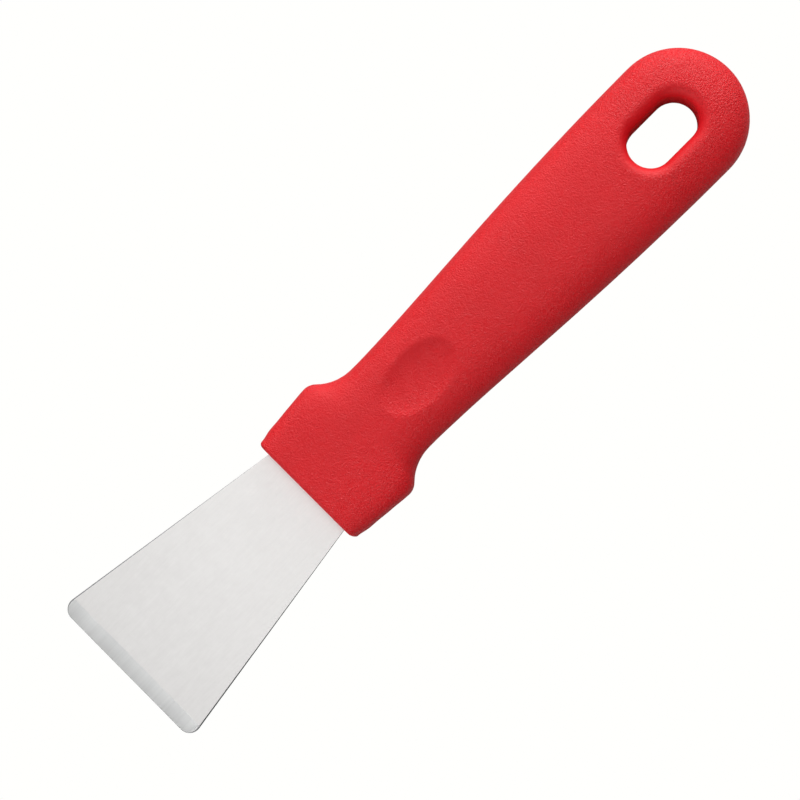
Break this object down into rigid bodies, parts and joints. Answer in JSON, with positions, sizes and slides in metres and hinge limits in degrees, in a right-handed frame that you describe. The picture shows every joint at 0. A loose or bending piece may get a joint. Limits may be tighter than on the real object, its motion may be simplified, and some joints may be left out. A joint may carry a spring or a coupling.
{
  "type": "hive tool",
  "caption": "Small flat hand scraper: thin trapezoid steel blade with a ground edge, set in a moulded handle with a flared bolster, thumb recess and oblong hang hole.",
  "frame": {"origin": "under the middle of the tool's length and width, on the plane that the handle's back rests on", "axes": "+X runs from the blade towards the tail, +Z points out of the broad face on the side of the ground bevel, +Y runs across the tool"},
  "size_m": [0.21, 0.0446, 0.0175],
  "materials": {
    "blade_steel": "satin",
    "handle_plastic": "matte"
  },
  "bodies": {
    "root": {"blade": "blade_steel", "handle": "handle_plastic"}
  },
  "joints": []
}
